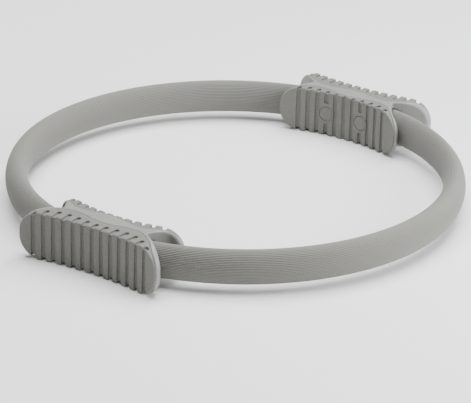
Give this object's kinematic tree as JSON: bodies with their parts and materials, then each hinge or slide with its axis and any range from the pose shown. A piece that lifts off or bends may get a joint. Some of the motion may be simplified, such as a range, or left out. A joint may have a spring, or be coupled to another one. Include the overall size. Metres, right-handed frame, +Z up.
{
  "type": "pilates ring",
  "caption": "Sprung round exercise ring in ribbed sleeves with a grooved, padded, two-winged handle on each side, squeezed or pushed apart for resistance.",
  "frame": {"origin": "on the floor below the middle of the ring, which lies flat on both handles", "axes": "+X through the right handle, the ring's longest extent; +Y to the rear side of the hoop; +Z up, the ring's own axis"},
  "size_m": [0.3902, 0.37, 0.0396],
  "materials": {
    "pad_rubber": "matt, fine grain",
    "plug_rubber": "matt, fine grain",
    "sleeve_foam": "matt, fine lengthwise ribs",
    "shell_plastic": "satin",
    "spring_composite": "semi-gloss",
    "steel": "zinc-plated"
  },
  "bodies": {
    "left_handle": {"left_outer_shell": "shell_plastic", "left_inner_shell": "shell_plastic", "left_outer_pad": "pad_rubber", "left_inner_pad": "pad_rubber", "left_front_plug": "plug_rubber", "left_rear_plug": "plug_rubber", "left_screws": "steel", "left_washers": "steel", "left_nuts": "steel"},
    "right_handle": {"right_outer_shell": "shell_plastic", "right_inner_shell": "shell_plastic", "right_outer_pad": "pad_rubber", "right_inner_pad": "pad_rubber", "right_front_plug": "plug_rubber", "right_rear_plug": "plug_rubber", "right_screws": "steel", "right_washers": "steel", "right_nuts": "steel"},
    "front_side": {"front_sleeve": "sleeve_foam"},
    "rear_side": {"rear_sleeve": "sleeve_foam"},
    "front_spring": {"front_strip": "spring_composite"},
    "rear_spring": {"rear_strip": "spring_composite"}
  },
  "joints": [
    {"name": "squeeze", "type": "slide", "parent": "left_handle", "child": "right_handle", "axis": [-1, 0, 0], "range_m": [-0.02, 0.06], "stiffness_N_per_m": 2000},
    {"name": "front_side_bend", "type": "slide", "parent": "left_handle", "child": "front_side", "axis": [-0.7433, -0.669, 0], "range_m": [-0.0137, 0.0406], "deforming": ["front_sleeve"]},
    {"name": "rear_side_bend", "type": "slide", "parent": "left_handle", "child": "rear_side", "axis": [-0.7433, 0.669, 0], "range_m": [-0.0137, 0.0406], "deforming": ["rear_sleeve"]},
    {"name": "front_spring_bend", "type": "slide", "parent": "right_handle", "child": "front_spring", "axis": [0.7433, -0.669, 0], "range_m": [-0.0137, 0.0406], "deforming": ["front_strip"]},
    {"name": "rear_spring_bend", "type": "slide", "parent": "right_handle", "child": "rear_spring", "axis": [0.7433, 0.669, 0], "range_m": [-0.0137, 0.0406], "deforming": ["rear_strip"]}
  ],
  "couplings": [
    {"joint": "front_side_bend", "follows": "squeeze", "ratio": 0.67268},
    {"joint": "rear_side_bend", "follows": "squeeze", "ratio": 0.67268},
    {"joint": "front_spring_bend", "follows": "squeeze", "ratio": 0.67268},
    {"joint": "rear_spring_bend", "follows": "squeeze", "ratio": 0.67268}
  ]
}
